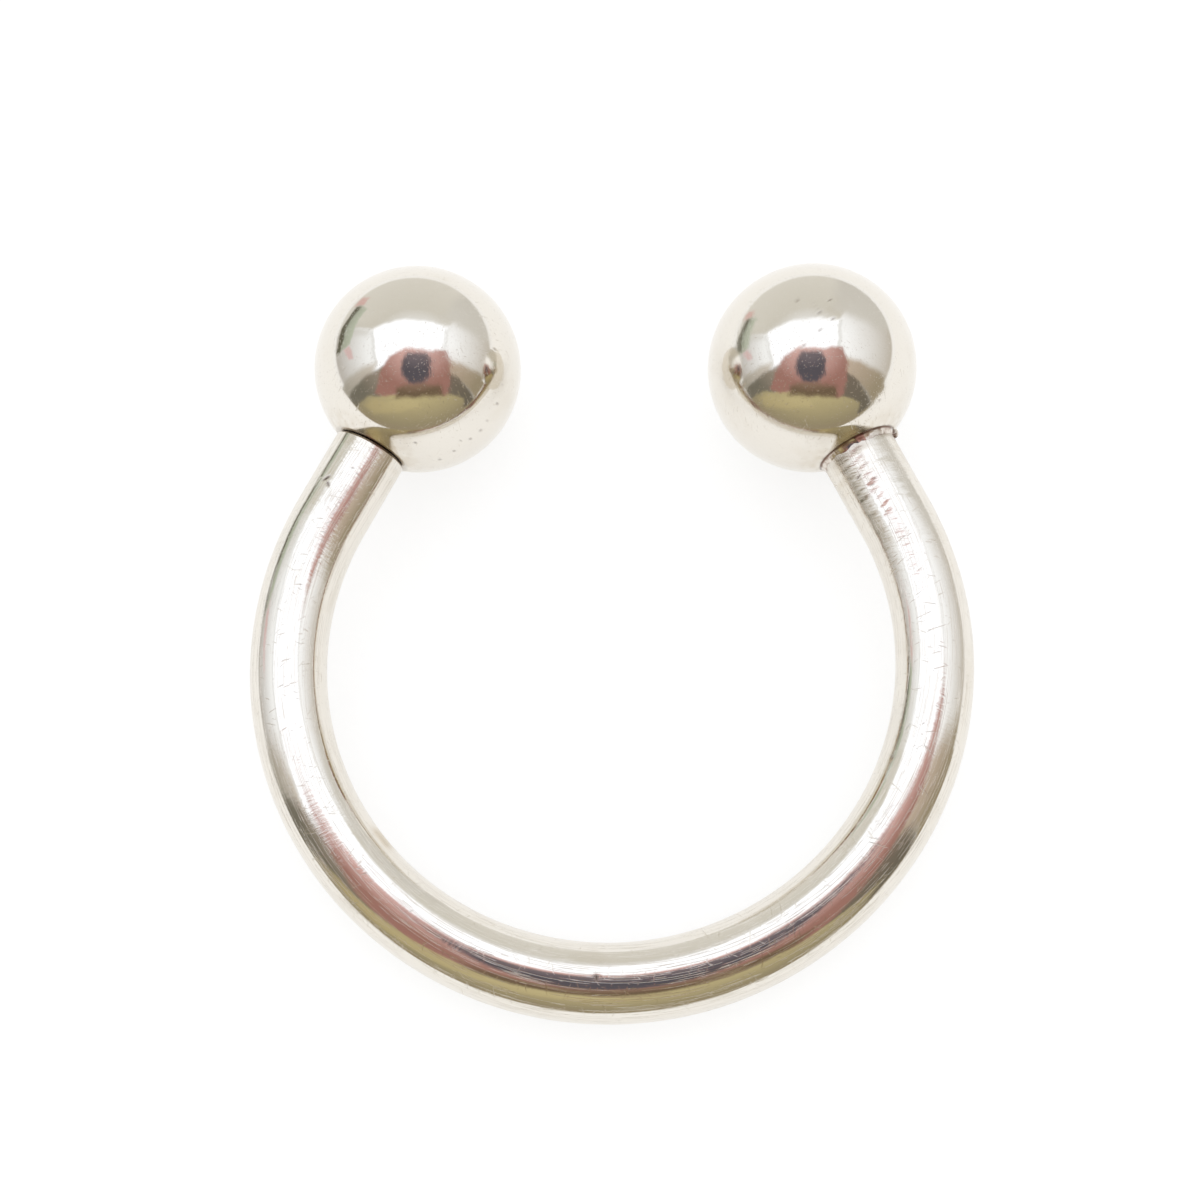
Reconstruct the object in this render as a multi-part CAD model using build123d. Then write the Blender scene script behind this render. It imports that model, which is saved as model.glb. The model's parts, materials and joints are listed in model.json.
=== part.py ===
from build123d import *
import math
import os

# Ball-ended key ring. A round silver bar is bent into a C, and each end carries a polished ball.
# The right ball is soldered fast. The left one screws off along its stud, so that keys go on.
# All sizes are in millimetres. The ring is first built flat, with the bottom of the C on -Y and
# the mouth between the balls on +Y, and then laid down: it rests on both balls and on the bottom
# of the bar, with +Z up and the origin under the middle of its outer box.

# ---- driving sizes ----
rod_d = 3.75            # bar stock
bend_radius = 15.7      # centre line of the bend
ball_d = 10.5           # both balls
mouth_gap = 9.5         # narrowest way between the balls
tail_length = 4.05      # straight bar between the bend and each end face
end_chamfer = 0.15      # broken edge of the bar's end faces
seat_overhang = 0.165   # how far each ball's spot face stands out past the bar

thread_pitch = 0.45     # right hand; the thread is left as a plain pin in a plain hole
shoulder_width = 0.625  # bar left around the stud at the end face
stud_reach = 4.2        # stud beyond the bar's end face
neck_length = 0.45      # plain neck before the thread starts
tip_chamfer = 0.3       # pointed lead of stud and peg
root_depth = 3.4        # stud and peg inside the bar

bush_cover = 0.225      # bar end face left around the bush
bush_length = 4.6       # tapped steel bush inside the screw ball
bush_chamfer = 0.12     # lead-in at the bush's two mouths

bead_radius = 0.3       # lump where the solder ran out of the seam
bead_drop = 0.06        # how far the lump's centre sits below the seam
fillet_foot = 0.14      # how far the solder runs down the bar

# ---- clearances and films ----
seat_gap = 0.04         # between bar and ball with the ball screwed home
drill_end = 0.15        # room past the end of a stud, peg or bush
solder_film = 0.05      # wall of each solder sleeve
solder_gap = 0.02       # each side of the sleeve that travels with the ball
thread_gap = 0.05       # radial room around the thread
drill_point = 118       # angle of a drill's point, degrees

# ---- sizes that follow ----
rod_r = rod_d / 2
ball_r = ball_d / 2
seat_r = rod_r + seat_overhang
seat_depth = math.sqrt(ball_r**2 - seat_r**2)
stud_r = rod_r - shoulder_width
bush_r = rod_r - bush_cover - solder_film - 2 * solder_gap
sleeve_inner_r = bush_r + solder_gap
sleeve_outer_r = sleeve_inner_r + solder_film
bore_r = sleeve_outer_r + solder_gap

core_r = stud_r - 0.6134 * thread_pitch

# Where the bend stops: both balls hang on straight tails, and their centres are spaced so that
# the mouth is as wide as stated.
reach = tail_length + seat_gap + seat_depth
ball_x = (mouth_gap + ball_d) / 2
bend_half_angle = math.pi - math.asin(ball_x / math.hypot(bend_radius, reach)) - math.atan2(reach, bend_radius)
bend_end = Vector(bend_radius * math.sin(bend_half_angle), -bend_radius * math.cos(bend_half_angle), 0)
tail_way = Vector(math.cos(bend_half_angle), math.sin(bend_half_angle), 0)
ball_y = (bend_end + tail_way * reach).Y

# How the ring lies: bar bottom and both balls touch the table.
tilt = math.asin((ball_r - rod_r) / (ball_y + bend_radius))
back_y = ball_y * math.cos(tilt) + ball_r
front_y = -bend_radius * math.cos(tilt) - rod_r
laid = Location(
    (0, -(back_y + front_y) / 2, rod_r + bend_radius * math.sin(tilt)),
    (math.degrees(tilt), 0, 0),
)


def end_place(side):
    """Frame on one end face of the bar: Z out along the tail, X away from the ring's middle."""
    way = Vector(side * tail_way.X, tail_way.Y, 0)
    middle = Vector(side * bend_end.X, bend_end.Y, 0) + way * tail_length
    outward = Vector(side * tail_way.Y, -tail_way.X, 0)
    return Location(Plane(origin=middle, x_dir=outward, z_dir=way))


def turned(points):
    """Solid of revolution about Z from (radius, height) points."""
    outline = make_face(Polyline(*[(r, 0, z) for r, z in points], close=True))
    return revolve(outline, Axis.Z)


def drilled(radius, mouth, depth):
    """Hole along Z from height mouth to height depth, with a drill's point at its end."""
    point = radius / math.tan(math.radians(drill_point / 2)) * math.copysign(1, depth - mouth)
    return turned([(0, mouth), (radius, mouth), (radius, depth), (0, depth + point)])


def pin_blank(tip_z):
    """Plain pin from the bottom of the bar's hole up to tip_z, pointed at the tip."""
    return turned([
        (0, -root_depth),
        (stud_r, -root_depth),
        (stud_r, tip_z - tip_chamfer),
        (stud_r - tip_chamfer, tip_z),
        (0, tip_z),
    ])


def make_bar():
    """Bent bar: half of the bend and one tail, mirrored, with a drilled and chamfered end."""
    ring = Torus(bend_radius, rod_r)
    wedge_r = 2 * (bend_radius + rod_d)
    left_out = 2 * (math.pi - bend_half_angle)
    mouth = Polyline(
        (0, 0),
        (wedge_r * math.sin(left_out / 2), wedge_r * math.cos(left_out / 2)),
        (0, wedge_r * 2),
        (-wedge_r * math.sin(left_out / 2), wedge_r * math.cos(left_out / 2)),
        close=True,
    )
    bar = ring - extrude(make_face(mouth), amount=rod_d, both=True)
    tail = turned([
        (0, -tail_length),
        (rod_r, -tail_length),
        (rod_r, -end_chamfer),
        (rod_r - end_chamfer, 0),
        (0, 0),
    ])
    hole = drilled(stud_r + solder_film, 0, -root_depth - drill_end)
    for side in (-1, 1):
        bar = bar + end_place(side) * tail
    for side in (-1, 1):
        bar = bar - end_place(side) * hole
    return bar


def make_stud():
    """Screw stud: plain root, neck at the thread's core, and the thread at its outside."""
    neck = sleeve(core_r, stud_r, 0, neck_length)
    return pin_blank(stud_reach) - neck


def make_bush():
    """Steel bush, bored just clear of the stud's thread, with a lead-in at both mouths."""
    hole_r = stud_r + thread_gap
    low = seat_gap
    high = seat_gap + bush_length
    return turned([
        (hole_r + bush_chamfer, low),
        (bush_r, low),
        (bush_r, high),
        (hole_r + bush_chamfer, high),
        (hole_r, high - bush_chamfer),
        (hole_r, low + bush_chamfer),
    ])


def sleeve(inner_r, outer_r, low, high):
    """Thin tube between two heights."""
    return turned([(inner_r, low), (outer_r, low), (outer_r, high), (inner_r, high)])


def make_ball(hole_r, hole_depth):
    """Ball with its spot face on the seat, drilled from that face."""
    ball = Pos(0, 0, seat_gap + seat_depth) * Sphere(ball_r)
    below = Pos(0, 0, seat_gap - ball_r) * Cylinder(ball_r, 2 * ball_r)
    return ball - below - drilled(hole_r, seat_gap, hole_depth)


def make_seam(ball):
    """Solder in the fixed ball's joint: the film, the fillet outside it and one lump."""
    film = turned([
        (stud_r + solder_film, 0),
        (rod_r - end_chamfer, 0),
        (rod_r, -end_chamfer),
        (rod_r, -end_chamfer - fillet_foot),
        (rod_r + seat_overhang / 3, -end_chamfer / 2),
        (seat_r, seat_gap),
        (stud_r + solder_film, seat_gap),
    ])
    inside = turned([
        (0, -tail_length),
        (rod_r, -tail_length),
        (rod_r, -end_chamfer),
        (rod_r - end_chamfer, 0),
        (rod_r - end_chamfer, seat_gap),
        (0, seat_gap),
    ])
    lump = Pos(rod_r + seat_overhang / 2, 0, -bead_drop) * Sphere(bead_radius)
    return film + (lump - inside - ball)


# ---- the pieces, each in its own end's frame, except the bar ----
pin_hole_end = stud_reach + drill_end
sleeve_low = seat_gap + bush_chamfer
screw_side, fixed_side = end_place(-1), end_place(1)
root_sleeve = sleeve(stud_r, stud_r + solder_film, -root_depth, -end_chamfer)
fixed_ball = make_ball(stud_r + solder_film, pin_hole_end)

pieces = {
    "ring_bar": make_bar(),
    "screw_stud": screw_side * make_stud(),
    "screw_stud_solder": screw_side * root_sleeve,
    "screw_ball": screw_side * make_ball(bore_r, seat_gap + bush_length + drill_end),
    "screw_bush": screw_side * make_bush(),
    "screw_bush_solder": screw_side * sleeve(sleeve_inner_r, sleeve_outer_r, sleeve_low, seat_gap + bush_length),
    "fixed_peg": fixed_side * pin_blank(stud_reach),
    "fixed_peg_root_solder": fixed_side * root_sleeve,
    "fixed_peg_tip_solder": fixed_side * sleeve(stud_r, stud_r + solder_film, seat_gap, stud_reach - tip_chamfer),
    "fixed_ball": fixed_side * fixed_ball,
    "fixed_ball_solder": fixed_side * make_seam(fixed_ball),
}

os.makedirs("parts", exist_ok=True)
for name, shape in pieces.items():
    export_step(laid * shape, f"parts/{name}.step")

for label, value in [
    ("bend half angle", math.degrees(bend_half_angle)),
    ("tilt of the ring", math.degrees(tilt)),
    ("ball centre x", ball_x),
    ("ball centre height", ball_r),
    ("stud diameter", 2 * stud_r),
]:
    print(f"{label}: {value:.4f}")
print("screw axis:", Axis(laid * screw_side))
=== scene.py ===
import bpy
import json
import math
import numpy as np
from mathutils import Matrix, Vector


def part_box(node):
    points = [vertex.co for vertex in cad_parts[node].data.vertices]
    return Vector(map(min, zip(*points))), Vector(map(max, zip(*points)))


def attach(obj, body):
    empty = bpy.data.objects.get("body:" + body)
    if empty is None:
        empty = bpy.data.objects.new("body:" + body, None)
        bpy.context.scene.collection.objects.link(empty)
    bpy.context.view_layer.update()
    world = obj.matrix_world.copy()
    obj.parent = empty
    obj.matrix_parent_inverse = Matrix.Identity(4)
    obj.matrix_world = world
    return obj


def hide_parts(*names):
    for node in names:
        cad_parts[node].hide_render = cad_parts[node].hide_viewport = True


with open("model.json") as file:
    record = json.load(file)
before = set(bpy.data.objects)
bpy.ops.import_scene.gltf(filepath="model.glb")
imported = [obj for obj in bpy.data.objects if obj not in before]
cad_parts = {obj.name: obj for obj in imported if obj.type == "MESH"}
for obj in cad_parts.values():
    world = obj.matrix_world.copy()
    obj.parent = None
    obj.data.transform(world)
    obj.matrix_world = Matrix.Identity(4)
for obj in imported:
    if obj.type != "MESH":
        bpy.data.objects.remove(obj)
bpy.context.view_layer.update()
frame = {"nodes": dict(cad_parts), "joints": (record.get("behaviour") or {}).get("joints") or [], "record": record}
record = frame["record"]
mm = 0.001

# ---- Camera ----
# It stands about a hand's breadth off and looks down, tipped 22.6 degrees from straight above
# towards the bottom of the C, as one holds a phone over a small thing on a table.
camera_aim = Vector((-0.71, 3.07, 0.0)) * mm
camera_distance = 99.86 * mm
camera_tip = math.radians(22.585)
camera_side = math.radians(2.968)
camera_roll = math.radians(1.399)
lens_mm = 58.5


def stand_camera():
    """Camera matrix from the direction back to the lens, level right and up, turned by the roll."""
    back = Vector((
        math.sin(camera_side),
        -math.sin(camera_tip) * math.cos(camera_side),
        math.cos(camera_tip) * math.cos(camera_side),
    ))
    right = Vector((0, 1, 0)).cross(back).normalized()
    up = back.cross(right)
    rolled_right = right * math.cos(camera_roll) + up * math.sin(camera_roll)
    rolled_up = up * math.cos(camera_roll) - right * math.sin(camera_roll)
    turn = Matrix((rolled_right, rolled_up, back)).transposed().to_4x4()
    lens = bpy.data.cameras.new("camera")
    lens.lens = lens_mm
    lens.sensor_width = 36
    lens.clip_start = 5 * mm
    lens.clip_end = 5.0
    camera = bpy.data.objects.new("camera", lens)
    camera.matrix_world = Matrix.Translation(camera_aim + back * camera_distance) @ turn
    bpy.context.scene.collection.objects.link(camera)
    bpy.context.scene.camera = camera


stand_camera()
bpy.context.scene.view_settings.view_transform = "Standard"


# ---- Stage ----
# A white paper sheet inside a small light tent: bright roof, greyer back wall, pale side walls
# and an open front with a dim khaki room behind it. The tent only shows in reflections.
paper_reach = 3.0
paper_white = 0.42
paper_glow = 0.65
sky_strength = 1.06
tent_radius = 106 * mm
roof_strength = 1.10
paper_rise_degrees = 4.5
front_edge_y = -30 * mm
front_floor_reach = 0.6
front_floor_height = 0.05 * mm
silver_tint = np.array((0.81, 0.77, 0.70))


def grid_faces(rows, columns):
    """Quads of a rows by columns point grid, as one array of corner numbers."""
    first = np.arange(rows - 1)[:, None] * columns + np.arange(columns - 1)[None, :]
    quads = np.stack([first, first + 1, first + columns + 1, first + columns], -1)
    return quads.reshape(-1, 4)


def piece_from_grid(name, points, faces, material, smooth=True):
    """Mesh object from an array of points and an array of corner numbers, in the shared frame."""
    mesh = bpy.data.meshes.new(name)
    mesh.from_pydata(points.reshape(-1, 3).tolist(), [], faces.tolist())
    mesh.polygons.foreach_set("use_smooth", np.full(len(mesh.polygons), smooth))
    mesh.update()
    piece = bpy.data.objects.new(name, mesh)
    bpy.context.scene.collection.objects.link(piece)
    mesh.materials.append(material)
    return piece


def new_material(name):
    """Empty node material with its output, and short ways to add and join nodes."""
    material = bpy.data.materials.new(name)
    material.use_nodes = True
    tree = material.node_tree
    tree.nodes.clear()
    out = tree.nodes.new("ShaderNodeOutputMaterial")

    def add(kind, **settings):
        node = tree.nodes.new(kind)
        for key, value in settings.items():
            setattr(node, key, value)
        return node

    def join(source, target):
        tree.links.new(source, target)

    return material, out, add, join


def flat_sheet(name, x_range, y_range, height, material):
    """Level rectangle at a height."""
    x, y = np.meshgrid(x_range, y_range)
    points = np.stack([x, y, np.full_like(x, height)], -1)
    sheet = piece_from_grid(name, points, grid_faces(2, 2), material, smooth=False)
    return sheet


def reflected_only(card):
    """A card that lights nothing and is seen only in reflections."""
    card.visible_camera = False
    card.visible_diffuse = False
    card.visible_shadow = False
    card.visible_transmission = False
    card.visible_volume_scatter = False


def light_for(colour):
    """Light that looks like this 0-255 screen colour once the silver has tinted it: the screen
    curve undone, then divided by the tint."""
    c = np.array(colour) / 255
    return np.where(c < 0.04045, c / 12.92, ((c + 0.055) / 1.055) ** 2.4) / silver_tint


def inside(x, y, corners, soft):
    """How far inside an outline each point lies, from 0 to 1: the distance to the nearest side,
    positive where an odd number of sides is crossed on the way out, run over the soft width."""
    nearest = np.full(x.shape, np.inf)
    odd = np.zeros(x.shape, bool)
    for (x0, y0), (x1, y1) in zip(corners, corners[1:] + corners[:1]):
        dx, dy = x1 - x0, y1 - y0
        t = np.clip(((x - x0) * dx + (y - y0) * dy) / (dx * dx + dy * dy), 0, 1)
        nearest = np.minimum(nearest, np.hypot(x - x0 - t * dx, y - y0 - t * dy))
        if dy != 0:
            odd ^= ((y0 > y) != (y1 > y)) & (x < x0 + (y - y0) * dx / dy)
    depth = np.clip(np.where(odd, nearest, -nearest) / soft + 0.5, 0, 1)
    return depth * depth * (3 - 2 * depth)


def make_tent(patches, roof_colour, paper_colour, paper_rise):
    """Globe of light round the ring, painted patch over patch on a round chart: the middle is
    straight up, the rim is level, up the chart is behind the balls, in degrees. A patch is its
    outline, its colour nearest the middle and nearest the rim, the chart radii where those two
    hold, and its soft width. Outlines are bent by up to 0.7 degrees, so none is ruled straight."""
    az, el = np.meshgrid(np.linspace(0, 360, 601), np.linspace(-1, 90, 141))
    a, e = np.radians(az), np.radians(el)
    points = tent_radius * np.stack([np.cos(e) * np.sin(a), np.cos(e) * np.cos(a), np.sin(e)], -1)
    chart_r = 90 - el
    x = chart_r * np.sin(a)
    y = chart_r * np.cos(a)
    x_bent = x + 0.5 * np.sin(0.31 * y + 1.0) + 0.2 * np.sin(0.83 * y + 0.5 * x)
    y_bent = y + 0.5 * np.sin(0.29 * x + 2.0) + 0.2 * np.sin(0.77 * x - 0.4 * y + 1.0)
    paint = np.ones(az.shape + (4,))
    paint[..., :3] = roof_colour
    for corners, near_colour, rim_colour, (r_near, r_rim), soft in patches:
        mask = inside(x_bent, y_bent, corners, soft)[..., None]
        t = np.clip((chart_r - r_near) / (r_rim - r_near), 0, 1)[..., None]
        colour = light_for(near_colour) * (1 - t) + light_for(rim_colour) * t
        paint[..., :3] = paint[..., :3] * (1 - mask) + colour * mask
    rim = np.clip((paper_rise - el) / 1.5 + 0.5, 0, 1)[..., None] * (np.cos(a) > -0.1)[..., None]
    paint[..., :3] = paint[..., :3] * (1 - rim) + light_for(paper_colour) * rim

    material, out, add, join = new_material("tent")
    layer = add("ShaderNodeAttribute", attribute_name="paint")
    glow = add("ShaderNodeEmission")
    join(layer.outputs["Color"], glow.inputs["Color"])
    join(glow.outputs[0], out.inputs["Surface"])
    tent = piece_from_grid("tent", points, grid_faces(*az.shape), material)
    store = tent.data.color_attributes.new("paint", "FLOAT_COLOR", "POINT")
    store.data.foreach_set("color", paint.astype(np.float32).ravel())
    reflected_only(tent)


paper, out, add, join = new_material("paper")
matt = add("ShaderNodeBsdfDiffuse")
matt.inputs["Color"].default_value = (paper_white, paper_white, paper_white, 1)
glow = add("ShaderNodeEmission")
glow.inputs["Color"].default_value = (0.995, 0.998, 1, 1)
glow.inputs["Strength"].default_value = paper_glow
both = add("ShaderNodeAddShader")
join(matt.outputs[0], both.inputs[0])
join(glow.outputs[0], both.inputs[1])
join(both.outputs[0], out.inputs["Surface"])
flat_sheet("paper", (-paper_reach, paper_reach), (-paper_reach, paper_reach), 0, paper)

make_tent(
    [
        # back wall
        ([(-41, 25), (-20, 30), (28, 31), (60, 82), (0, 130), (-80, 80), (-95, 50)],
         (224, 221, 214), (203, 197, 183), (29, 44), 5),
        ([(-58, 38), (-34, 48), (-26, 66), (-50, 78), (-72, 60)],
         (186, 181, 170), (186, 180, 168), (50, 88), 18),
        ([(-44, 33), (-20, 42), (30, 44), (52, 78), (0, 130), (-80, 80), (-88, 50)],
         (205, 199, 185), (213, 207, 194), (50, 88), 8),
        # right wall and left wall, each shaded at the corner seam
        ([(28, 31), (60, 82), (130, 60), (130, -40), (60, -17), (40, -12), (28, -5)],
         (248, 247, 244), (182, 172, 156), (38, 88), 5),
        ([(22, 38), (60, 36), (95, 56), (72, 92), (28, 92)],
         (205, 200, 189), (197, 191, 179), (45, 88), 13),
        ([(-41, 25), (-95, 50), (-130, 0), (-95, -24), (-45, -16), (-41, -12)],
         (241, 240, 236), (180, 173, 163), (48, 84), 5),
        ([(-43, 26), (-92, 50), (-90, 40), (-46, 21)], (222, 219, 212), (186, 180, 168), (48, 86), 7),
        ([(27, 30), (30, 30), (30, -6), (27, -6)], (228, 226, 221), (228, 226, 221), (30, 40), 2),
        ([(-43, 24), (-40, 24), (-40, -12), (-43, -12)], (226, 224, 219), (226, 224, 219), (30, 40), 2),
        # brown at the right and the dark edges of the open front
        ([(33, -5), (60, -5), (130, 2), (130, -60), (60, -28), (32, -26)],
         (188, 170, 150), (150, 137, 112), (42, 80), 8),
        ([(-42, -8), (-95, -8), (-130, -40), (-95, -30), (-46, -20)],
         (202, 192, 178), (162, 155, 140), (44, 84), 8),
        ([(-34, -14), (-95, -24), (-130, -60), (-60, -60), (-30, -46)],
         (146, 134, 118), (112, 106, 92), (44, 70), 4),
        ([(32, -16), (62, -27), (130, -62), (100, -90), (60, -60), (28, -46)],
         (118, 106, 92), (106, 98, 84), (44, 80), 3),
        # khaki room
        ([(-79, -38), (-60, -37), (-50, -42), (-30, -45), (30, -46), (54, -45), (66, -44), (69, -56),
          (84, -66), (60, -130), (-60, -130), (-100, -60)],
         (182, 168, 124), (148, 136, 106), (56, 87), 3),
        ([(-70, -43), (-52, -44), (-40, -52), (0, -54), (6, -66), (-30, -68), (-62, -58)],
         (186, 171, 126), (170, 155, 114), (60, 82), 6),
        # plain warm card round the lens, the dark round lens hole and the shade under them
        ([(-7, 2), (-27, -5), (-40, -22), (-50, -38), (-38, -46), (20, -47), (36, -50), (43, -42),
          (40, -13), (33, 3), (22, 3), (14, -1)], (208, 168, 158), (154, 112, 100), (12, 40), 4),
        ([(-22, -39), (0, -36), (32, -38), (35, -50), (0, -53), (-27, -50)],
         (140, 112, 94), (108, 90, 70), (37, 48), 7),
        ([(-14, -11), (-8, -3), (12, -4), (17, -12), (17, -26), (10, -36), (-7, -36), (-15, -27)],
         (112, 102, 104), (86, 81, 85), (10, 22), 5),
        # small grey-green box at the left, with pink ends
        ([(-50, 67), (-57, 60), (-49, 56), (-44, 63)], (206, 172, 162), (206, 172, 162), (60, 90), 2),
        ([(-72, 21), (-65, 21), (-64, 6), (-70, 9)], (208, 180, 174), (208, 180, 174), (60, 90), 2),
        ([(-52, 58), (-68, 46), (-80, 22), (-64, 22), (-58, 34), (-46, 50)],
         (184, 188, 168), (150, 152, 134), (66, 82), 2),
        ([(-55, 58), (-69, 46), (-81, 24), (-76, 22), (-66, 41), (-51, 55)],
         (100, 96, 80), (100, 96, 80), (60, 90), 2),
    ],
    light_for((255, 255, 255)) * roof_strength, (240, 236, 228), paper_rise_degrees,
)

front_floor, out, add, join = new_material("front_floor")
glow = add("ShaderNodeEmission")
glow.inputs["Color"].default_value = (*light_for((146, 133, 106)), 1)
join(glow.outputs[0], out.inputs["Surface"])
front_across = (-front_floor_reach, front_floor_reach)
front_along = (-front_floor_reach, front_edge_y)
reflected_only(
    flat_sheet("front_floor", front_across, front_along, front_floor_height, front_floor)
)

world = bpy.data.worlds.new("sky")
world.use_nodes = True
world.node_tree.nodes["Background"].inputs["Color"].default_value = (1, 1, 1, 1)
world.node_tree.nodes["Background"].inputs["Strength"].default_value = sky_strength
bpy.context.scene.world = world


# ---- Bar ----
# Round silver bar, bent cold round a former into a C, then filed and polished by hand. Its two
# ends are cut square with the sharp edge broken, and drilled for the stud and the peg.
end_chamfer = 0.15 * mm
hole_spare = 0.15 * mm
drill_slope = math.tan(math.radians(59))
sharp_edge = math.radians(28)
filed_length = 9.0 * mm
slow_wave = 0.0022
quick_wave = 0.0009
relief_fade = 0.3 * mm
fixed_end_ridges = 0.0080
screw_end_ridges = 0.0085
turn_joint = next(j for j in frame["joints"] if j["name"] == "ball_turn")
travel_joint = next(j for j in frame["joints"] if j["name"] == "ball_travel")
key_bar = next(m for m in record["mounts"] if m["name"] == "key_bar")
bar_r = key_bar["dims"]["r_mm"] * mm
bar_low = np.array(key_bar["pos_m"])
screw_seat = np.array(turn_joint["pos_m"])
screw_way = np.array(turn_joint["axis"]) / np.linalg.norm(turn_joint["axis"])
ring_up = (screw_seat - bar_low) * (0, 1, 1) / np.linalg.norm((screw_seat - bar_low)[1:])
ring_normal = np.cross((1, 0, 0), ring_up)


def end_frame(mirror):
    """Seat of one end of the bar, and its right-handed directions: across, ring normal, way out."""
    seat, way = screw_seat * (mirror, 1, 1), screw_way * (mirror, 1, 1)
    return seat, np.cross(ring_normal, way), ring_normal, way


screw_end = end_frame(1)
fixed_end = end_frame(-1)


def cad_span(node, end):
    """Lowest and highest point of a CAD node along an end's axis, and its least and greatest
    distance from that axis."""
    vertices = frame["nodes"][node].data.vertices
    at = np.zeros(len(vertices) * 3, np.float32)
    vertices.foreach_get("co", at)
    rel = at.reshape(-1, 3).astype(float) - end[0]
    z = rel @ end[3]
    r = np.linalg.norm(rel - z[:, None] * end[3], axis=1)
    return z.min(), z.max(), r.min(), r.max()


def rings_on_axis(end, radius, height, around):
    """Circles round an end's axis: radius and height per row, or per row and column."""
    b = np.arange(around) * 2 * math.pi / around
    outward = np.cos(b)[:, None] * end[1] + np.sin(b)[:, None] * end[2]

    def per_point(values):
        rows = len(values)
        return np.broadcast_to(np.reshape(values, (rows, -1)), (rows, around))[..., None]

    return end[0] + per_point(radius) * outward + per_point(height) * end[3]


def round_piece(name, points, material, poles=None, along=None, girth=0.0, **marks):
    """Closed skin over rings of points (rows by columns). With poles, each end ring is shut over a
    middle point; without, the last ring joins the first. along (per row) and girth give a UV map
    in millimetres, and marks are per-point numbers that the material reads."""
    rows, around = points.shape[:2]
    r = np.arange(rows - 1 if poles is not None else rows)[:, None]
    c = np.arange(around)[None]
    n, r2 = (c + 1) % around, (r + 1) % rows
    corners = [r * around + c, r * around + n, r2 * around + n, r2 * around + c]
    faces = np.stack(corners, -1).reshape(-1, 4).tolist()
    flat = points.reshape(-1, 3)
    if poles is not None:
        low, high = np.full(around, rows * around), np.full(around, rows * around + 1)
        last = (rows - 1) * around
        faces += np.stack([low, n[0], c[0]], -1).tolist()
        faces += np.stack([last + c[0], last + n[0], high], -1).tolist()
        flat = np.concatenate([flat, poles])
    mesh = bpy.data.meshes.new(name)
    mesh.from_pydata(flat.tolist(), [], faces)
    mesh.polygons.foreach_set("use_smooth", np.ones(len(mesh.polygons), bool))
    if along is not None:
        step = girth / around
        u = np.stack([along[:-1], along[:-1], along[1:], along[1:]], -1)[:, None].repeat(around, 1)
        v = np.stack([c[0], c[0] + 1, c[0] + 1, c[0]], -1)[None].repeat(rows - 1, 0) * step
        uv = np.stack([u, v], -1).reshape(-1, 2)
        uv = np.concatenate([uv, np.zeros((len(mesh.loops) - len(uv), 2))]).astype(np.float32)
        mesh.uv_layers.new(name="along_and_round").data.foreach_set("uv", uv.ravel())
    for mark, value in marks.items():
        value = np.broadcast_to(np.reshape(value, (rows, -1)), (rows, around)).ravel()
        value = np.concatenate([value, np.zeros(len(flat) - len(value))]).astype(np.float32)
        mesh.attributes.new(mark, "FLOAT", "POINT").data.foreach_set("value", value)
    mesh.set_sharp_from_angle(angle=sharp_edge)
    mesh.update()
    piece = bpy.data.objects.new(name, mesh)
    bpy.context.scene.collection.objects.link(piece)
    mesh.materials.append(material)
    return piece


def soft_noise(u, v, cells_u, cells_v, seed):
    """Smooth random numbers from -1 to 1 over u and v in 0 to 1, wrapping round in v: a random
    lattice, blended between its points with 3t^2 - 2t^3."""
    lattice = np.random.default_rng(seed).uniform(-1, 1, (cells_u + 2, cells_v))
    x, y = np.clip(u, 0, 1) * cells_u, (v % 1) * cells_v
    i, j = x.astype(int), y.astype(int) % cells_v
    fx, fy = x - i, y - np.floor(y)
    fx, fy = fx * fx * (3 - 2 * fx), fy * fy * (3 - 2 * fy)
    k = (j + 1) % cells_v
    near = lattice[i, j] * (1 - fy) + lattice[i, k] * fy
    far = lattice[i + 1, j] * (1 - fy) + lattice[i + 1, k] * fy
    return near * (1 - fx) + far * fx


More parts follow.
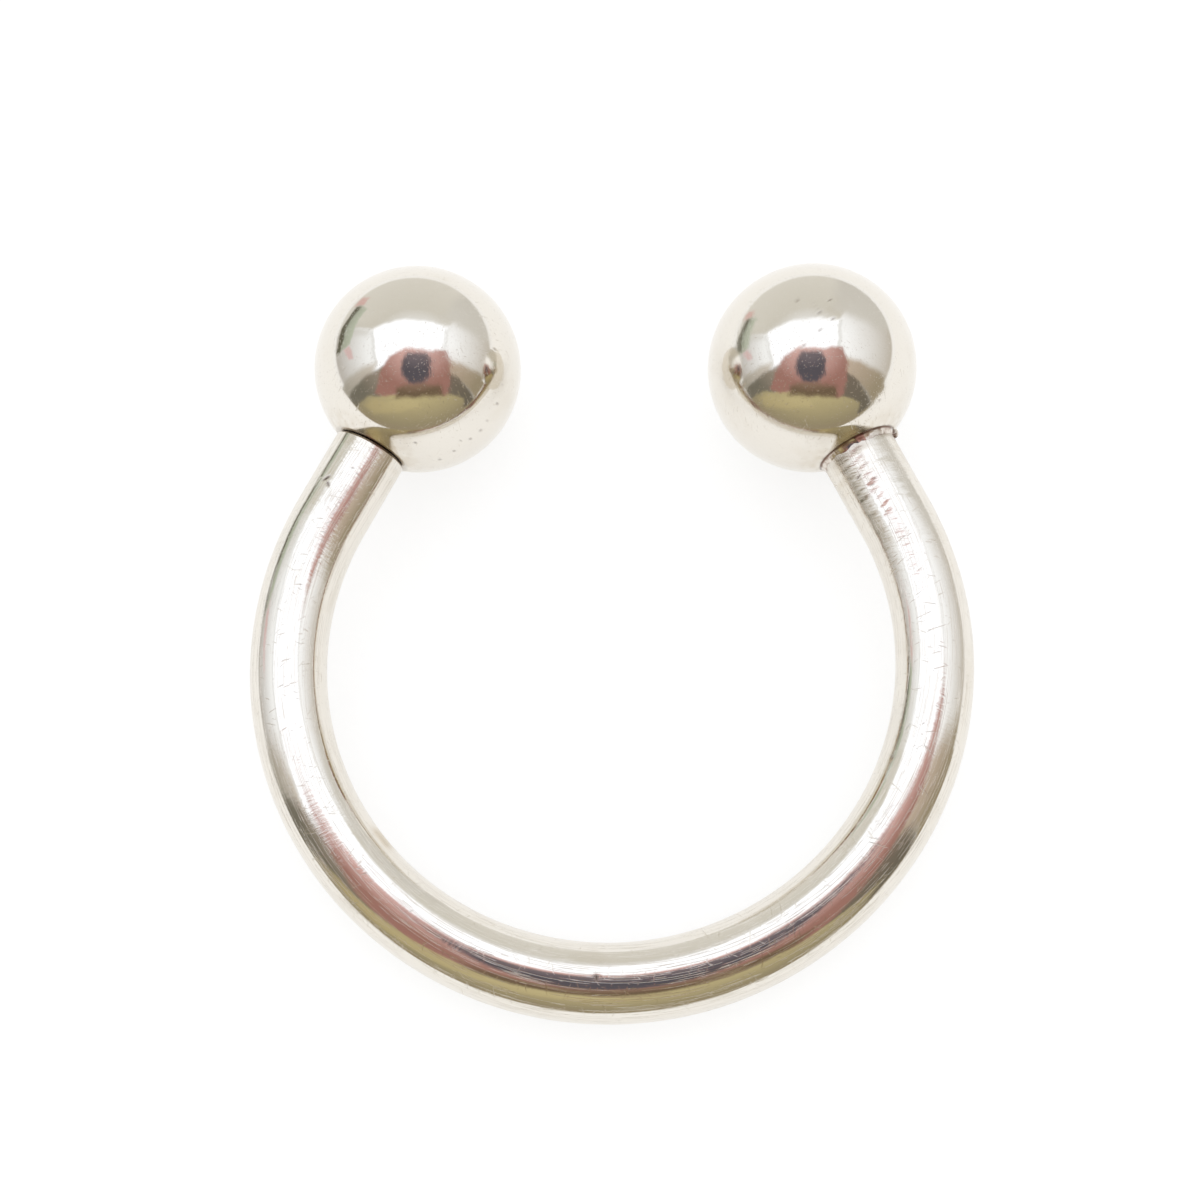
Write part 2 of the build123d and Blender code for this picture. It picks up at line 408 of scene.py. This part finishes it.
def polished_silver(name, coordinate, per_mm, hairs):
    """Hand-polished silver: a warm mirror with a soft haze, hairline scratches (each set is a
    stretch, a turn, how sparse it is and how strong), and file marks where the frost mark says.
    Two more marks turn it brown and dark brown: tarnish and stains, and painted shade at the
    joints, in the dents and down the holes."""
    material, out, add, join = new_material(name)
    place = add("ShaderNodeTexCoord").outputs[coordinate]

    def stretched_noise(scale, turn, detail):
        mapping = add("ShaderNodeMapping", vector_type="TEXTURE")
        mapping.inputs["Rotation"].default_value = turn
        mapping.inputs["Scale"].default_value = [1 / (per_mm * k) for k in scale]
        noise = add("ShaderNodeTexNoise")
        noise.inputs["Scale"].default_value = 1
        noise.inputs["Detail"].default_value = detail
        noise.inputs["Roughness"].default_value = 0.6
        join(place, mapping.inputs["Vector"])
        join(mapping.outputs[0], noise.inputs["Vector"])
        return noise.outputs["Fac"]

    def spread(value, low, high, to_low, to_high):
        ramp = add("ShaderNodeMapRange", interpolation_type="SMOOTHSTEP")
        ramp.inputs["From Min"].default_value = low
        ramp.inputs["From Max"].default_value = high
        ramp.inputs["To Min"].default_value = to_low
        ramp.inputs["To Max"].default_value = to_high
        join(value, ramp.inputs["Value"])
        return ramp.outputs[0]

    def maths(operation, *values):
        node = add("ShaderNodeMath", operation=operation)
        for k, value in enumerate(values):
            if isinstance(value, float):
                node.inputs[k].default_value = value
            else:
                join(value, node.inputs[k])
        return node.outputs[0]

    scratch = None
    for scale, turn, sparse, strong in hairs:
        lines = spread(stretched_noise(scale, turn, 2), sparse, sparse + 0.05, 0.0, strong)
        scratch = lines if scratch is None else maths("MAXIMUM", scratch, lines)
    haze = spread(stretched_noise((0.5, 0.5, 0.5), (0, 0, 0), 3), 0.35, 0.7, 0.055, 0.11)
    rough = maths("MULTIPLY_ADD", scratch, 0.20, haze)
    bump = add("ShaderNodeBump")
    bump.inputs["Distance"].default_value = 0.005 * mm
    frost = add("ShaderNodeAttribute", attribute_name="frost").outputs["Fac"]
    file_marks = spread(stretched_noise((7, 1.6, 5), (0, 0, 0.2), 3), 0.3, 0.75, -1.0, 1.0)
    filed = maths("MULTIPLY", frost, file_marks)
    join(maths("ADD", maths("MULTIPLY", scratch, -1.0), filed), bump.inputs["Height"])
    scratch = maths("ADD", scratch, maths("MULTIPLY", filed, 0.35))
    rough = maths("ADD", rough, maths("MULTIPLY", frost, 0.16))

    # These two marks carry painted shade at the joints, in the dents and in the holes, as well as tarnish and
    # stains.
    dirt = add("ShaderNodeAttribute", attribute_name="dirt").outputs["Fac"]
    tarnish = add("ShaderNodeAttribute", attribute_name="tarnish").outputs["Fac"]
    dull = add("ShaderNodeMix", data_type="RGBA")
    dull.inputs["A"].default_value = (*silver_tint, 1)
    dull.inputs["B"].default_value = (0.62, 0.54, 0.42, 1)
    cloud = spread(stretched_noise((0.35, 0.35, 0.35), (0, 0, 0.5), 4), 0.5, 0.8, 0.0, 0.22)
    dulled = maths("ADD", maths("ADD", tarnish, cloud), maths("MULTIPLY", scratch, 0.45))
    join(dulled, dull.inputs["Factor"])
    # Dark brown, mostly painted shade in the joint gaps, dents and holes.
    dirty = add("ShaderNodeMix", data_type="RGBA")
    dirty.inputs["B"].default_value = (0.09, 0.045, 0.028, 1)
    join(dull.outputs["Result"], dirty.inputs["A"])
    join(dirt, dirty.inputs["Factor"])
    shader = add("ShaderNodeBsdfPrincipled")
    shader.inputs["Metallic"].default_value = 1
    join(dirty.outputs["Result"], shader.inputs["Base Color"])
    join(maths("ADD", rough, maths("MULTIPLY", dirt, 0.35)), shader.inputs["Roughness"])
    join(bump.outputs[0], shader.inputs["Normal"])
    join(shader.outputs[0], out.inputs["Surface"])
    return material


def bar_path():
    """Centre line from the screw end's face round to the other, its directions and lengths.
    The bend is bottom + R * (sin a, 1 - cos a); each tail goes on straight from its last angle.
    Points are 0.05 to 0.07 mm apart where the ends are filed, and 0.16 mm elsewhere."""
    angle = math.pi - math.atan2(screw_way @ ring_up, screw_way[0])
    bend_r, tail = np.linalg.solve(
        [[math.sin(angle), math.cos(angle)], [1 - math.cos(angle), math.sin(angle)]],
        [-screw_seat[0], (screw_seat - bar_low) @ ring_up],
    )
    total = 2 * (bend_r * angle + tail)
    between = total - 2 * filed_length
    along = np.concatenate([
        np.linspace(end_chamfer, filed_length, 126)[:-1],
        np.linspace(filed_length, filed_length + between, int(between / (0.16 * mm)))[:-1],
        np.linspace(total - filed_length, total - end_chamfer, 176),
    ])
    along = np.concatenate([[0.0], along, [total]])
    middle = along - total / 2
    a = np.clip(middle / bend_r, -angle, angle)
    rest = middle - a * bend_r
    sideways = bend_r * np.sin(a) + rest * np.cos(a)
    upward = bend_r * (1 - np.cos(a)) + rest * np.sin(a)
    points = bar_low + np.outer(sideways, (1, 0, 0)) + np.outer(upward, ring_up)
    ways = np.outer(np.cos(a), (1, 0, 0)) + np.outer(np.sin(a), ring_up)
    return points, ways, along, total


def bar_relief(s, b, total):
    """Height of the worn surface in metres, over length s and angle b: slow waves everywhere,
    plus short slanting ridges that fade out from each end as exp(-(distance / reach)^2), less the
    nicks, which are bell-shaped troughs and are also returned alone, in millimetres."""
    u, v = s / total, b / (2 * math.pi)
    to_fixed = (total - s) / mm
    to_screw = s / mm
    waves = slow_wave * soft_noise(u, v, 34, 5, 11) + quick_wave * soft_noise(u, v, 90, 9, 12)
    slant = u + 0.0016 * np.sin(2 * b + 0.5) + 0.0008 * np.sin(5 * b)
    ridges = soft_noise(slant, v, 330, 7, 13) + 0.7 * soft_noise(slant, v, 230, 12, 14)
    fixed_fade = np.exp(-((to_fixed / 5.2) ** 2)) + 0.28 * np.exp(-((to_fixed / 13) ** 2))
    screw_fade = 0.08 * np.exp(-((to_screw / 7.0) ** 2)) + 0.06
    rise = waves + ridges * (fixed_end_ridges * fixed_fade + screw_end_ridges * screw_fade)
    nicks = 0 * s
    # along the bar and round it, half length and half width, turn, depth (millimetres, degrees)
    for at, angle, length, width, turn, depth in [
        (2.75, 291, 0.20, 0.07, 35, 0.035), (2.98, 283, 0.16, 0.06, -50, 0.030),
        (1.73, 262, 0.10, 0.05, 80, 0.018), (2.32, 318, 0.08, 0.05, 0, 0.012),
        (35.78, 268, 0.16, 0.10, 90, 0.030), (35.4, 274, 0.12, 0.06, 60, 0.012),
        (70.3, 238, 0.22, 0.06, 70, 0.018), (69.6, 250, 0.20, 0.06, 100, 0.014),
        (67.9, 262, 0.18, 0.05, 60, 0.010), (56.6, 236, 0.14, 0.06, 20, 0.014),
        (54.9, 226, 0.16, 0.06, 40, 0.014), (44.0, 300, 0.30, 0.05, 10, 0.008),
        (28.2, 308, 0.05, 0.25, 0, 0.008), (27.4, 318, 0.05, 0.22, 0, 0.008),
        (13.0, 255, 0.06, 0.12, 0, 0.008),
    ]:
        ds = s / mm - at
        db = ((b - math.radians(angle) + math.pi) % (2 * math.pi) - math.pi) * bar_r / mm
        t = math.radians(turn)
        lengthways = ds * math.cos(t) + db * math.sin(t)
        crossways = db * math.cos(t) - ds * math.sin(t)
        nicks = nicks + depth * np.exp(-((lengthways / length) ** 2) - (crossways / width) ** 2)
    return (rise - nicks) * mm, nicks


def make_bar():
    """Circles of the bar's radius plus relief along the path; each end goes over the chamfer, in
    over the end face and down the drilled hole to its point."""
    points, ways, along, total = bar_path()
    around = 144
    root_low, _, _, hole_r = cad_span("screw_stud_solder", screw_end)
    depth = hole_spare - root_low
    b = math.pi / 2 + np.arange(around) * 2 * math.pi / around
    outward = np.cross(ways, ring_normal)
    s, angle = np.meshgrid(along, b, indexing="ij")
    edge = np.clip(np.minimum(along, total - along) / relief_fade, 0, 1)[:, None]
    relief, nicks = bar_relief(s, angle, total)
    radius = bar_r + relief * edge
    radius[[0, -1]] = bar_r - end_chamfer
    tube = points[:, None] + radius[..., None] * (
        np.cos(b)[None, :, None] * outward[:, None] - np.sin(b)[None, :, None] * ring_normal
    )

    def hole_ring(k, drop):
        inward = ways[k] * (drop if k == 0 else -drop)
        sideways = np.cos(b)[:, None] * outward[k] - np.sin(b)[:, None] * ring_normal
        return points[k] + inward + hole_r * sideways

    rings = np.concatenate([
        [hole_ring(0, depth), hole_ring(0, 0)], tube, [hole_ring(-1, 0), hole_ring(-1, depth)]
    ])
    point = depth + hole_r / drill_slope
    poles = np.array([points[0] + ways[0] * point, points[-1] - ways[-1] * point])
    to_screw, to_fixed = s / mm, (total - s) / mm
    blotch = 0.5 + 0.5 * soft_noise(s / total, angle / (2 * math.pi), 240, 15, 21)
    # Painted shade: dark within about 0.1 mm of the screw end, under the ball's overhanging flat; blotchy dark
    # within about a millimetre of the fixed end, heat stain and painted shade; and darker in the nicks, the deeper
    # the darker.
    dirt = np.clip(1.0 - to_screw / (0.07 + 0.08 * blotch), 0, 1) * 0.3
    near_fixed = np.clip(0.62 - to_fixed / (0.9 + 0.8 * blotch), 0, 1)
    dirt = np.maximum(dirt, near_fixed * (0.25 + 0.6 * blotch))
    dirt = np.maximum(dirt, np.clip(nicks / 0.016 - 0.35, 0, 0.85))
    frost = 0.2 + 0.15 * np.exp(-((to_screw / 6) ** 2)) + 0.9 * np.exp(-((to_fixed / 6.5) ** 2))
    frost *= 0.55 + 0.45 * soft_noise(s / total, angle / (2 * math.pi), 60, 9, 22)
    # A small dull patch on the inner side 22.6 mm from the screw end, and blotchy browning within about 2 mm of
    # each joint, tarnish and painted shade.
    round_away = (angle - math.radians(200) + math.pi) % (2 * math.pi) - math.pi
    tarnish = 0.9 * np.exp(-((to_screw - 22.6) / 0.75) ** 4 - (round_away * bar_r / (0.4 * mm)) ** 4)
    tarnish += 0.35 * blotch * np.exp(-((to_screw / 1.4) ** 2))
    tarnish += 0.8 * blotch * np.exp(-((to_fixed / 1.6) ** 2))

    def with_holes(field, in_holes):
        hole = np.full((2, around), in_holes)
        return np.concatenate([hole, field, hole])

    hole_u = [-2.0, -1.0, *(along / mm), total / mm + 1, total / mm + 2]
    silver = polished_silver(
        "bar_silver", "UV", 1.0,
        [((0.45, 11, 1), (0, 0, 0), 0.66, 0.8), ((0.2, 20, 1), (0, 0, 0.03), 0.58, 0.5),
         ((8, 0.9, 1), (0, 0, 0.4), 0.66, 0.7), ((9, 0.7, 1), (0, 0, -0.3), 0.67, 0.8),
         ((1.2, 11, 1), (0, 0, 0.8), 0.68, 0.6)],
    )
    # Painted shade: both drilled holes are dark inside.
    piece = round_piece(
        "silver_bar", rings, silver, poles, np.array(hole_u), 2 * math.pi * bar_r / mm,
        dirt=with_holes(dirt, 0.9), frost=with_holes(frost, 0), tarnish=with_holes(tarnish, 0.5),
    )
    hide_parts("ring_bar")
    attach(piece, "ring")


make_bar()


# ---- Balls ----
# Two silver balls turned to one size and polished, each with a small flat spot-faced on it and
# drilled from there: the screw ball for its steel bush, the other for the peg.
sleeve_room = 0.02 * mm
ball_wave = 0.0016
ball_ripple = 0.0006


def make_ball(name, node, body, end, lining, seed, dents):
    """Profile from the drill's point up the hole, over the flat, and round the sphere to its far
    side. lining names the solder film that gives the hole its width. Dents are directions in the
    shared frame, with a half width and a depth in millimetres."""
    low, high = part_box(node)
    ball_r = round((high.z - low.z) / 2, 5)
    face = cad_span(node, end)[0]
    hole_r = cad_span(lining, end)[3] + (sleeve_room if body == "ball" else 0)
    bottom = cad_span("screw_bush" if body == "ball" else "fixed_peg", end)[1] + hole_spare
    middle_x = (low.x + high.x) / 2
    rise = (middle_x - end[0][0]) / end[3][0]
    seat_r = math.sqrt(ball_r**2 - (rise - face) ** 2)
    around = 160
    t = np.concatenate([
        np.linspace(math.asin(seat_r / ball_r), 0.7, 34)[:-1], np.linspace(0.7, math.pi, 190)[:-1]
    ])
    b = np.arange(around) * 2 * math.pi / around
    tt, bb = np.meshgrid(t, b, indexing="ij")
    facing = (
        np.sin(tt)[..., None] * (np.cos(bb)[..., None] * end[1] + np.sin(bb)[..., None] * end[2])
        - np.cos(tt)[..., None] * end[3]
    )
    fade = np.sin(tt)
    down, turn = tt / math.pi, bb / (2 * math.pi)
    wave = ball_wave * soft_noise(down, turn, 13, 13, seed) * fade
    wave += ball_ripple * soft_noise(down, turn, 40, 40, seed + 1) * fade
    pits = 0 * tt
    for direction, width, depth in dents:
        d = np.array(direction) / np.linalg.norm(direction)
        off = np.arccos(np.clip(facing @ d, -1, 1)) * ball_r / mm
        pit = np.exp(-((off / width) ** 2))
        wave -= depth * pit
        pits = np.maximum(pits, pit)
    wave *= np.clip((tt - t[0]) / 0.06, 0, 1)
    skin = end[0] + rise * end[3] + (ball_r + wave[..., None] * mm) * facing
    hole = rings_on_axis(end, [hole_r, hole_r], [bottom, face], around)
    poles = np.array([
        end[0] + (bottom + hole_r / drill_slope) * end[3],
        end[0] + (rise + ball_r) * end[3],
    ])
    blotch = 0.5 + 0.5 * soft_noise(down, turn, 60, 60, seed + 2)
    from_seat = (tt - t[0]) * ball_r / mm
    # Painted shade: dark down the hole, a thin dark ring round the flat where it meets the bar, darker in the
    # dents, and browner within about a millimetre of the flat (the shade mark).
    hole_dirt, seat_dirt = (0.45, 0.15) if body == "ball" else (0.9, 0.7)
    dirt = seat_dirt * np.clip(1 - from_seat / (0.04 + 0.09 * blotch), 0, 1)
    dirt = np.maximum(dirt, 0.55 * np.clip(1.5 * pits - 0.5, 0, 1))
    shade = 0.55 * np.exp(-((from_seat / 0.9) ** 2)) * blotch

    def with_hole(field, in_hole):
        return np.concatenate([np.full((2, around), in_hole), field])

    silver = polished_silver(
        name + "_silver", "Object", 1 / mm,
        [((0.8, 12, 12), (0.4, 0.9, 0.3), 0.68, 0.6), ((12, 0.7, 12), (1.1, 0.2, 0.8), 0.68, 0.7),
         ((12, 12, 0.8), (0.3, 0.5, 1.2), 0.68, 0.6), ((9, 9, 9), (0, 0, 0), 0.77, 1.0)],
    )
    frost = np.clip(0.06 + 0.12 * soft_noise(down, turn, 9, 9, seed + 3), 0, 1)
    piece = round_piece(
        name, np.concatenate([hole, skin]), silver, poles,
        dirt=with_hole(dirt, hole_dirt), frost=with_hole(frost, 0), tarnish=with_hole(shade, 0.5),
    )
    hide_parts(node)
    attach(piece, body)


make_ball(
    "silver_screw_ball", "screw_ball", "ball", screw_end, "screw_bush_solder", 31,
    [((0.85, -0.35, 0.32), 0.10, 0.020), ((0.80, -0.50, 0.25), 0.09, 0.018),
     ((0.90, -0.25, 0.25), 0.08, 0.016), ((0.66, -0.74, 0.15), 0.13, 0.016),
     ((0.55, -0.80, 0.12), 0.10, 0.014), ((0.81, -0.11, 0.57), 0.08, 0.010),
     ((0.26, -0.96, -0.02), 0.12, 0.018), ((0.07, -0.95, 0.30), 0.09, 0.012),
     ((0.40, -0.90, 0.05), 0.10, 0.014), ((0.72, -0.66, 0.20), 0.08, 0.012),
     ((0.48, -0.86, 0.16), 0.08, 0.012), ((-0.62, -0.10, 0.78), 0.08, 0.010)],
)
make_ball(
    "silver_fixed_ball", "fixed_ball", "ring", fixed_end, "fixed_peg_tip_solder", 41,
    [((-0.20, 0.175, 0.964), 0.10, 0.008), ((-0.17, 0.165, 0.97), 0.08, 0.008),
     ((-0.05, 0.12, 0.99), 0.10, 0.010), ((-0.03, 0.09, 0.996), 0.08, 0.008),
     ((-0.01, 0.05, 0.998), 0.09, 0.010), ((0.02, 0.02, 1.0), 0.07, 0.008),
     ((0.06, -0.02, 0.998), 0.08, 0.008), ((0.02, -0.157, 0.987), 0.08, 0.008),
     ((0.10, -0.10, 0.99), 0.08, 0.008), ((0.14, -0.04, 0.99), 0.07, 0.006),
     ((-0.116, -0.29, 0.95), 0.08, 0.006), ((0.12, 0.164, 0.979), 0.07, 0.008),
     ((0.16, -0.14, 0.977), 0.06, 0.006), ((0.59, -0.62, 0.51), 0.09, 0.008)],
)


# ---- Stud ----
# Steel stud soldered into the bar: a plain root, a turned neck and a right-hand V thread, cut
# with a die and run out at its pointed tip.
thread_pitch = travel_joint["range_m"][1] / (turn_joint["range_deg"][1] / 360)
thread_depth = 0.6134 * thread_pitch
root_end = -0.05 * mm
neck_start = 0.02 * mm
neck_end = 0.39 * mm
thread_start = 0.67 * mm
tip_chamfer = 0.3 * mm
root_chamfer = 0.1 * mm


def thread_radius(z, b, outside_r):
    """Radius of the thread at height z and angle b: a V with flat crest and root, whose crest
    climbs one pitch per turn."""
    phase = (z / thread_pitch - b / (2 * math.pi)) % 1
    return outside_r - thread_depth * (1 - np.clip(np.abs(2 * phase - 1) * 1.3 - 0.15, 0, 1))


def turned_steel(name, coordinate, per_mm):
    """Turned steel: grey, with fine tool lines, and dark where its mark says, which is painted shade in the
    threads.
    """
    material, out, add, join = new_material(name)
    place = add("ShaderNodeTexCoord").outputs[coordinate]
    mapping = add("ShaderNodeMapping")
    mapping.inputs["Scale"].default_value = (14 * per_mm, 0.6 * per_mm, 3 * per_mm)
    noise = add("ShaderNodeTexNoise")
    noise.inputs["Scale"].default_value = 1
    noise.inputs["Detail"].default_value = 3
    join(place, mapping.inputs["Vector"])
    join(mapping.outputs[0], noise.inputs["Vector"])
    rough = add("ShaderNodeMapRange")
    rough.inputs["To Min"].default_value = 0.18
    rough.inputs["To Max"].default_value = 0.40
    join(noise.outputs["Fac"], rough.inputs["Value"])
    bump = add("ShaderNodeBump")
    bump.inputs["Distance"].default_value = 0.002 * mm
    join(noise.outputs["Fac"], bump.inputs["Height"])
    dirt = add("ShaderNodeAttribute", attribute_name="dirt")
    mix = add("ShaderNodeMix", data_type="RGBA")
    mix.inputs["A"].default_value = (0.56, 0.55, 0.53, 1)
    mix.inputs["B"].default_value = (0.09, 0.075, 0.06, 1)
    join(dirt.outputs["Fac"], mix.inputs["Factor"])
    shader = add("ShaderNodeBsdfPrincipled")
    shader.inputs["Metallic"].default_value = 1
    join(mix.outputs["Result"], shader.inputs["Base Color"])
    join(rough.outputs[0], shader.inputs["Roughness"])
    join(bump.outputs[0], shader.inputs["Normal"])
    join(shader.outputs[0], out.inputs["Surface"])
    return material


def make_stud():
    """Rows up the stud. The outside is the smaller of the thread and an envelope that narrows to
    the neck and to the tip; the root is left plain."""
    low, high, _, outside_r = cad_span("screw_stud", screw_end)
    core_r = outside_r - thread_depth
    around = 96
    rows_up = np.arange(0, high, thread_pitch / 22)
    z = np.concatenate([[low, low + root_chamfer, root_end], rows_up, [high]])
    b = np.arange(around) * 2 * math.pi / around
    zz, bb = np.meshgrid(z, b, indexing="ij")
    outline = np.array([
        (low, outside_r - root_chamfer), (low + root_chamfer, outside_r), (root_end, outside_r),
        (neck_start, core_r), (neck_end, core_r), (thread_start, outside_r),
        (high - tip_chamfer, outside_r), (high, outside_r - tip_chamfer),
    ])
    envelope = np.interp(zz, outline[:, 0], outline[:, 1])
    threaded = np.minimum(envelope, thread_radius(zz, bb, outside_r))
    radius = np.where(zz < neck_start, envelope, threaded)
    # Painted shade: darker the deeper into the thread.
    dirt = np.clip((outside_r - radius) / thread_depth, 0, 1) ** 2 * 0.8
    points = rings_on_axis(screw_end, radius, z, around)
    stud = round_piece(
        "threaded_stud", points, turned_steel("stud_steel", "UV", 1.0),
        np.array([screw_end[0] + low * screw_end[3], screw_end[0] + high * screw_end[3]]),
        z / mm, 2 * math.pi * outside_r / mm, dirt=dirt,
    )
    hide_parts("screw_stud")
    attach(stud, "ring")


make_stud()


# ---- Bush ----
# Steel bush turned from rod and tapped right through, soldered into the screw ball. Its thread
# is the stud's, with room around it.
thread_room = 0.05 * mm
bush_chamfer = 0.12 * mm
outer_chamfer = 0.04 * mm


def make_bush():
    """Rows up the outside, then down the tapped bore; each mouth opens in a short cone."""
    low, high, _, outer_r = cad_span("screw_bush", screw_end)
    stud_r = cad_span("screw_stud", screw_end)[3]
    around = 96
    b = np.arange(around) * 2 * math.pi / around
    z_in = np.linspace(high, low, 226)
    zz, bb = np.meshgrid(z_in, b, indexing="ij")
    cone = stud_r + thread_room + bush_chamfer - np.minimum(zz - low, high - zz)
    bore = np.maximum(thread_radius(zz, bb, stud_r) + thread_room, cone)
    z_out = np.array([low, low + outer_chamfer, high - outer_chamfer, high])
    outside_r = np.array([outer_r - outer_chamfer, outer_r, outer_r, outer_r - outer_chamfer])
    outside = outside_r[:, None].repeat(around, 1)
    radius = np.concatenate([outside, bore])
    points = rings_on_axis(screw_end, radius, np.concatenate([z_out, z_in]), around)
    # Painted shade: darker deep in the thread.
    in_thread = np.clip((bore - stud_r + thread_depth) / thread_depth - 0.2, 0, 1)
    dirt = np.concatenate([outside * 0, in_thread * 0.7])
    bush = round_piece("tapped_bush", points, turned_steel("bush_steel", "Object", 1 / mm), dirt=dirt)
    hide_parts("screw_bush")
    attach(bush, "ball")


make_bush()


# ---- Seam solder ----
# Silver solder run between the fixed ball and the bar: an uneven fillet that was never cleaned
# up, stained by the heat, with one lump where it ran out on the far side.
lump_r = 0.30 * mm
lump_drop = 0.06 * mm
flat_overhang = 0.165 * mm
foot_height = 0.16 * mm
fillet_film = 0.003 * mm
fillet_bulge = 0.014 * mm
fillet_ripple = 0.007 * mm


def silver_solder(name):
    """Solder: greyer and duller than the silver, mottled brown, dark where its mark says."""
    material, out, add, join = new_material(name)
    place = add("ShaderNodeTexCoord").outputs["Object"]
    noise = add("ShaderNodeTexNoise")
    noise.inputs["Scale"].default_value = 3.2 / mm
    noise.inputs["Detail"].default_value = 4
    join(place, noise.inputs["Vector"])
    blotch = add("ShaderNodeMapRange", interpolation_type="SMOOTHSTEP")
    blotch.inputs["From Min"].default_value = 0.40
    blotch.inputs["From Max"].default_value = 0.68
    join(noise.outputs["Fac"], blotch.inputs["Value"])
    # The dark mark is painted shade along the seam's top, at its foot and round the lump.
    dirt = add("ShaderNodeAttribute", attribute_name="dirt")
    brown = add("ShaderNodeMix", data_type="RGBA")
    brown.inputs["A"].default_value = (0.74, 0.68, 0.61, 1)
    brown.inputs["B"].default_value = (0.44, 0.35, 0.29, 1)
    join(blotch.outputs[0], brown.inputs["Factor"])
    dark = add("ShaderNodeMix", data_type="RGBA")
    dark.inputs["B"].default_value = (0.14, 0.075, 0.05, 1)
    join(brown.outputs["Result"], dark.inputs["A"])
    join(dirt.outputs["Fac"], dark.inputs["Factor"])
    bump = add("ShaderNodeBump")
    bump.inputs["Distance"].default_value = 0.006 * mm
    join(noise.outputs["Fac"], bump.inputs["Height"])
    shader = add("ShaderNodeBsdfPrincipled")
    shader.inputs["Metallic"].default_value = 1
    shader.inputs["Roughness"].default_value = 0.16
    join(dark.outputs["Result"], shader.inputs["Base Color"])
    join(bump.outputs[0], shader.inputs["Normal"])
    join(shader.outputs[0], out.inputs["Surface"])
    return material


def make_seam():
    """Rows up the fillet from its uneven foot on the bar to the ball's flat, then back through
    the joint. Near the lump each row is pushed out to a sphere."""
    ball_face = cad_span("fixed_ball", fixed_end)[0]
    film_r = cad_span("fixed_peg_tip_solder", fixed_end)[3]
    flat_r = bar_r + flat_overhang
    around, rows = 288, 26
    b = np.arange(around) * 2 * math.pi / around
    t, bb = np.meshgrid(np.linspace(0, 1, rows), b, indexing="ij")
    turn = bb / (2 * math.pi)
    uneven = 0.5 * soft_noise(0 * t, turn, 1, 23, 51) + 0.3 * soft_noise(0 * t, turn, 1, 61, 52)
    foot = end_chamfer + foot_height * (1 + uneven)
    bulge = (fillet_film + fillet_bulge * np.sin(math.pi * t) ** 0.8) * (1 - 0.9 * (t == 1))
    radius = bar_r + flat_overhang * t**1.7 + bulge
    radius += fillet_ripple * soft_noise(t, turn, 5, 47, 53) * np.sin(math.pi * t)
    z = -foot + (ball_face + foot) * t
    out_from_lump = radius - bar_r - 0.5 * flat_overhang
    round_from_lump = (bb - math.pi) * bar_r
    up_from_lump = z + lump_drop
    lump_x = np.sqrt(np.clip(lump_r**2 - round_from_lump**2 - up_from_lump**2, 0, None))
    radius += np.where(lump_x > 0, np.clip(lump_x - out_from_lump, 0, None), 0)
    # Painted shade: dark along the top under the ball's overhanging flat, darker at the foot and in a ring round
    # the lump, but not on the lump's crown.
    at_ball = np.clip((t - 0.66) / 0.2, 0, 1) * 0.9
    at_foot = np.clip((0.12 - t) / 0.12, 0, 1) * 0.5
    round_lump = np.abs(np.hypot(round_from_lump, up_from_lump) - lump_r) < 0.07 * mm
    dirt = np.maximum(np.maximum(at_ball, at_foot), round_lump * 0.8)
    dirt = np.where(lump_x > 0.12 * mm, 0.0, dirt)
    inside_r = np.array([flat_r, film_r, film_r, bar_r - end_chamfer, bar_r])
    inside_z = np.array([ball_face, ball_face, 0, 0, -end_chamfer])
    back_r = inside_r[:, None].repeat(around, 1)
    back_r[0] = np.minimum(back_r[0], radius[-1] - 0.002 * mm)
    radius = np.concatenate([radius, back_r])
    z = np.concatenate([z, inside_z[:, None].repeat(around, 1)])
    dirt = np.concatenate([dirt, back_r * 0])
    points = rings_on_axis(fixed_end, radius, z, around)
    seam = round_piece("seam_solder", points, silver_solder("seam_solder"), dirt=dirt)
    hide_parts("fixed_ball_solder")
    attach(seam, "ring")


make_seam()


# ---- Joint insides ----
# What the joints hide: the plain steel peg of the fixed ball, and the thin solder films round
# the peg, the stud and the bush. They show only where the ball is screwed off.
inside_steel = turned_steel("peg_steel", "Object", 1 / mm)
inside_solder = silver_solder("film_solder")
for node, material, slot in [
    ("fixed_peg", inside_steel, "stud_steel"),
    ("fixed_peg_root_solder", inside_solder, "silver_solder"),
    ("fixed_peg_tip_solder", inside_solder, "silver_solder"),
    ("screw_stud_solder", inside_solder, "silver_solder"),
    ("screw_bush_solder", inside_solder, "silver_solder"),
]:
    piece = frame["nodes"][node]
    piece.data.materials.clear()
    piece.data.materials.append(material)
